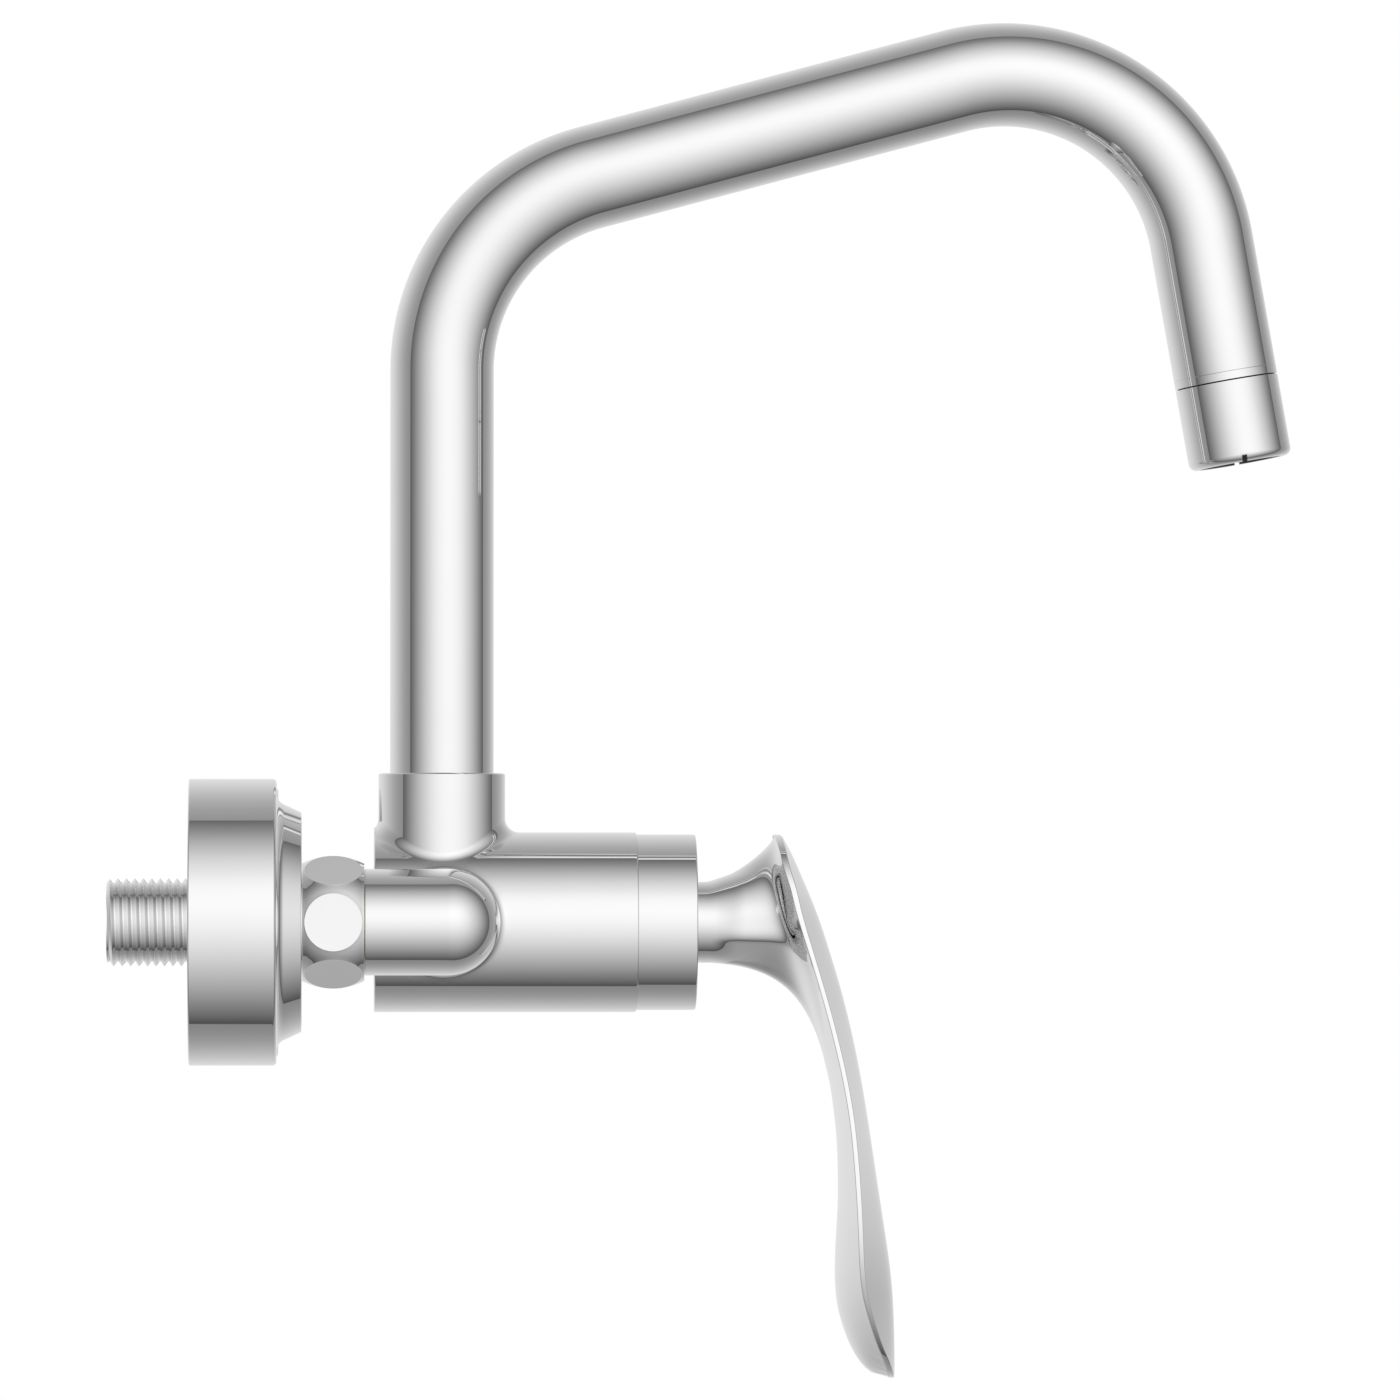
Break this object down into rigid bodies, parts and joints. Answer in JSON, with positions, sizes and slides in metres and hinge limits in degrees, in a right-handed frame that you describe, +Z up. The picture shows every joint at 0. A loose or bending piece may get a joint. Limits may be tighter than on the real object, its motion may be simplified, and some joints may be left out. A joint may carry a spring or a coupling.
{
  "type": "wall-mounted mixer tap",
  "caption": "Wall-mounted single-lever kitchen mixer tap with a high angular swivel spout, deep round escutcheons and a long leaf-shaped lever hanging in front of the barrel.",
  "frame": {"origin": "on the finished wall's plane, midway between the two inlet axes", "axes": "+Z up, +Y into the wall, the spout and lever reach towards -Y, +X to the user's right (cold side)"},
  "size_m": [0.218, 0.289, 0.3326],
  "materials": {
    "chrome_body": "polished chrome plate on brass",
    "chrome_plastic": "chrome-plated plastic plug",
    "bare_brass": "machined, unplated",
    "steel": "stainless",
    "white_plastic": "moulded",
    "ceramic": "lapped ceramic",
    "black_plastic": "moulded",
    "black_rubber": "smooth rubber"
  },
  "bodies": {
    "root": {"body_casting": "chrome_body", "union_nut_left": "chrome_body", "union_nut_right": "chrome_body", "inlet_bush_left": "bare_brass", "inlet_bush_right": "bare_brass", "union_washer_left": "black_rubber", "union_washer_right": "black_rubber", "wall_connector_left": "chrome_body", "wall_connector_right": "chrome_body", "escutcheon_left": "chrome_body", "escutcheon_right": "chrome_body", "cover_ring": "chrome_body", "cartridge_nut": "bare_brass", "cartridge_housing": "white_plastic", "cartridge_base": "white_plastic", "port_seals": "black_rubber", "disc_gasket": "black_rubber", "fixed_disc": "ceramic", "slip_ring": "white_plastic", "spout_grub_screw": "steel"},
    "spout": {"spout_tube": "chrome_body", "spout_spigot": "bare_brass", "spout_orings": "black_rubber", "outlet_ferrule": "chrome_body", "aerator_shell": "chrome_body", "aerator_insert": "black_plastic", "aerator_washer": "black_rubber"},
    "turret": {"turret": "white_plastic", "pivot_pin": "steel"},
    "lever": {"lever": "chrome_body", "spindle": "bare_brass", "lever_grub_screw": "steel", "lever_screw_cap": "chrome_plastic"},
    "disc": {"moving_disc": "ceramic", "disc_carrier": "white_plastic"}
  },
  "joints": [
    {"name": "spout_swivel", "type": "hinge", "parent": "root", "child": "spout", "pos_m": [0, -0.061, 0.03], "axis": [0, 0, 1], "range_deg": [-100, 100]},
    {"name": "lever_turn", "type": "hinge", "parent": "root", "child": "turret", "pos_m": [0, -0.11, 0], "axis": [0, 1, 0], "range_deg": [-50, 50]},
    {"name": "lever_tilt", "type": "hinge", "parent": "turret", "child": "lever", "pos_m": [0, -0.11, 0], "axis": [-1, 0, 0], "range_deg": [0, 25]},
    {"name": "disc_slide", "type": "slide", "parent": "turret", "child": "disc", "axis": [0, 0, 1], "range_m": [-0.00607, 0]}
  ],
  "couplings": [
    {"joint": "disc_slide", "follows": "lever_tilt", "m_per_rad": -0.01389}
  ]
}
